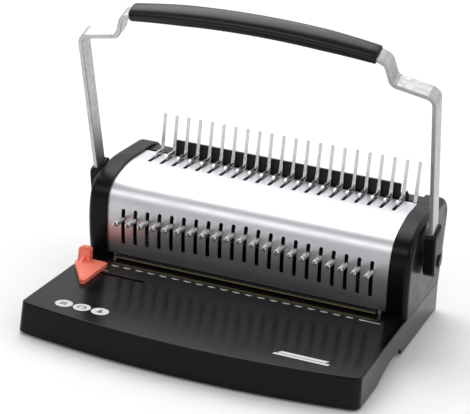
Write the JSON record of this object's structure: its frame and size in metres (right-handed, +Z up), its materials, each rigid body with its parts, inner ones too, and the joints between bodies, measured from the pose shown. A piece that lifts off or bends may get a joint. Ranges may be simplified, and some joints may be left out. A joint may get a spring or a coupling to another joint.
{
  "type": "comb binding machine",
  "caption": "Desktop comb binding machine: swinging lever handle, silver punch cover with slots and pull pins, prongs for opening the comb, and a low black base with an edge guide.",
  "frame": {"origin": "on the surface it stands on, under the middle of the machine", "axes": "+Z up; the front, where the user stands, faces -Y; +X to the user's right"},
  "size_m": [0.4058, 0.339, 0.3482],
  "materials": {
    "housing_plastic": "glossy black moulding",
    "cover_plastic": "glossy black moulding",
    "silver_cover": "satin silver sheet",
    "bar_steel": "satin plated flat bar",
    "chrome": "bright plated",
    "raw_steel": "plain steel",
    "yellow_zinc": "yellow zinc plated sheet",
    "guide_plastic": "orange-red moulding",
    "rubber": "soft black rubber",
    "grip_rubber": "soft-touch black grip",
    "tray_plastic": "plain black moulding"
  },
  "bodies": {
    "machine": {"base_housing": "housing_plastic", "base_plate": "raw_steel", "foot_fl": "rubber", "foot_fr": "rubber", "foot_rl": "rubber", "foot_rr": "rubber", "front_cover": "silver_cover", "rear_cover": "cover_plastic", "end_cap_left": "cover_plastic", "end_cap_right": "cover_plastic", "comb_plate": "chrome", "comb_rest_strip": "cover_plastic", "comb_stop_peg": "rubber", "die_plate": "raw_steel", "punch_guide": "yellow_zinc", "paper_stop": "raw_steel", "side_frame_left": "raw_steel", "side_frame_right": "raw_steel", "ram_spring_left": "raw_steel", "ram_spring_right": "raw_steel"},
    "shaft": {"punch_shaft": "raw_steel", "ram_crank_left": "raw_steel", "ram_crank_right": "raw_steel"},
    "handle": {"handle_bar": "bar_steel", "handle_grip": "grip_rubber", "hub_left": "cover_plastic", "hub_right": "cover_plastic", "hub_cap_left": "cover_plastic", "hub_cap_right": "cover_plastic", "opener_crank_left": "raw_steel", "opener_crank_right": "raw_steel"},
    "ram": {"ram_with_punches": "raw_steel"},
    "opener": {"opener_rake": "chrome", "rake_arm_left": "raw_steel", "rake_arm_right": "raw_steel"},
    "guide": {"edge_guide": "guide_plastic", "edge_guide_keeper": "raw_steel"},
    "tray": {"chip_tray": "tray_plastic"},
    "release_pin_01": {"release_pin_01": "chrome"},
    "release_pin_02": {"release_pin_02": "chrome"},
    "release_pin_03": {"release_pin_03": "chrome"},
    "release_pin_04": {"release_pin_04": "chrome"},
    "release_pin_05": {"release_pin_05": "chrome"},
    "release_pin_06": {"release_pin_06": "chrome"},
    "release_pin_07": {"release_pin_07": "chrome"},
    "release_pin_08": {"release_pin_08": "chrome"},
    "release_pin_09": {"release_pin_09": "chrome"},
    "release_pin_10": {"release_pin_10": "chrome"},
    "release_pin_11": {"release_pin_11": "chrome"},
    "release_pin_12": {"release_pin_12": "chrome"},
    "release_pin_13": {"release_pin_13": "chrome"},
    "release_pin_14": {"release_pin_14": "chrome"},
    "release_pin_15": {"release_pin_15": "chrome"},
    "release_pin_16": {"release_pin_16": "chrome"},
    "release_pin_17": {"release_pin_17": "chrome"},
    "release_pin_18": {"release_pin_18": "chrome"},
    "release_pin_19": {"release_pin_19": "chrome"},
    "release_pin_20": {"release_pin_20": "chrome"},
    "release_pin_21": {"release_pin_21": "chrome"}
  },
  "joints": [
    {"name": "punch_shaft_turn", "type": "hinge", "parent": "machine", "child": "shaft", "pos_m": [0, 0.0715, 0.0925], "axis": [1, 0, 0], "range_deg": [0, 72], "stiffness_Nm_per_rad": 1.4, "springref_deg": -51.57},
    {"name": "handle_back", "type": "hinge", "parent": "shaft", "child": "handle", "pos_m": [0, 0.0715, 0.0925], "axis": [1, 0, 0], "range_deg": [-45, 0]},
    {"name": "ram_slide", "type": "slide", "parent": "machine", "child": "ram", "axis": [0, 0, -1], "range_m": [0, 0.022], "deforming": ["ram_spring_left", "ram_spring_right"]},
    {"name": "opener_slide", "type": "slide", "parent": "machine", "child": "opener", "axis": [0, 1, 0], "range_m": [-0.012, 0]},
    {"name": "edge_guide_slide", "type": "slide", "parent": "machine", "child": "guide", "axis": [1, 0, 0], "range_m": [0, 0.058]},
    {"name": "chip_tray_slide", "type": "slide", "parent": "machine", "child": "tray", "axis": [0, 1, 0], "range_m": [0, 0.12]},
    {"name": "release_pin_01_pull", "type": "slide", "parent": "ram", "child": "release_pin_01", "axis": [0, -1, 0], "range_m": [0, 0.007]},
    {"name": "release_pin_02_pull", "type": "slide", "parent": "ram", "child": "release_pin_02", "axis": [0, -1, 0], "range_m": [0, 0.007]},
    {"name": "release_pin_03_pull", "type": "slide", "parent": "ram", "child": "release_pin_03", "axis": [0, -1, 0], "range_m": [0, 0.007]},
    {"name": "release_pin_04_pull", "type": "slide", "parent": "ram", "child": "release_pin_04", "axis": [0, -1, 0], "range_m": [0, 0.007]},
    {"name": "release_pin_05_pull", "type": "slide", "parent": "ram", "child": "release_pin_05", "axis": [0, -1, 0], "range_m": [0, 0.007]},
    {"name": "release_pin_06_pull", "type": "slide", "parent": "ram", "child": "release_pin_06", "axis": [0, -1, 0], "range_m": [0, 0.007]},
    {"name": "release_pin_07_pull", "type": "slide", "parent": "ram", "child": "release_pin_07", "axis": [0, -1, 0], "range_m": [0, 0.007]},
    {"name": "release_pin_08_pull", "type": "slide", "parent": "ram", "child": "release_pin_08", "axis": [0, -1, 0], "range_m": [0, 0.007]},
    {"name": "release_pin_09_pull", "type": "slide", "parent": "ram", "child": "release_pin_09", "axis": [0, -1, 0], "range_m": [0, 0.007]},
    {"name": "release_pin_10_pull", "type": "slide", "parent": "ram", "child": "release_pin_10", "axis": [0, -1, 0], "range_m": [0, 0.007]},
    {"name": "release_pin_11_pull", "type": "slide", "parent": "ram", "child": "release_pin_11", "axis": [0, -1, 0], "range_m": [0, 0.007]},
    {"name": "release_pin_12_pull", "type": "slide", "parent": "ram", "child": "release_pin_12", "axis": [0, -1, 0], "range_m": [0, 0.007]},
    {"name": "release_pin_13_pull", "type": "slide", "parent": "ram", "child": "release_pin_13", "axis": [0, -1, 0], "range_m": [0, 0.007]},
    {"name": "release_pin_14_pull", "type": "slide", "parent": "ram", "child": "release_pin_14", "axis": [0, -1, 0], "range_m": [0, 0.007]},
    {"name": "release_pin_15_pull", "type": "slide", "parent": "ram", "child": "release_pin_15", "axis": [0, -1, 0], "range_m": [0, 0.007]},
    {"name": "release_pin_16_pull", "type": "slide", "parent": "ram", "child": "release_pin_16", "axis": [0, -1, 0], "range_m": [0, 0.007]},
    {"name": "release_pin_17_pull", "type": "slide", "parent": "ram", "child": "release_pin_17", "axis": [0, -1, 0], "range_m": [0, 0.007]},
    {"name": "release_pin_18_pull", "type": "slide", "parent": "ram", "child": "release_pin_18", "axis": [0, -1, 0], "range_m": [0, 0.007]},
    {"name": "release_pin_19_pull", "type": "slide", "parent": "ram", "child": "release_pin_19", "axis": [0, -1, 0], "range_m": [0, 0.007]},
    {"name": "release_pin_20_pull", "type": "slide", "parent": "ram", "child": "release_pin_20", "axis": [0, -1, 0], "range_m": [0, 0.007]},
    {"name": "release_pin_21_pull", "type": "slide", "parent": "ram", "child": "release_pin_21", "axis": [0, -1, 0], "range_m": [0, 0.007]}
  ],
  "couplings": [
    {"joint": "punch_shaft_turn", "follows": "ram_slide", "rad_per_m": 57.12},
    {"joint": "handle_back", "follows": "opener_slide", "rad_per_m": 65.45}
  ]
}
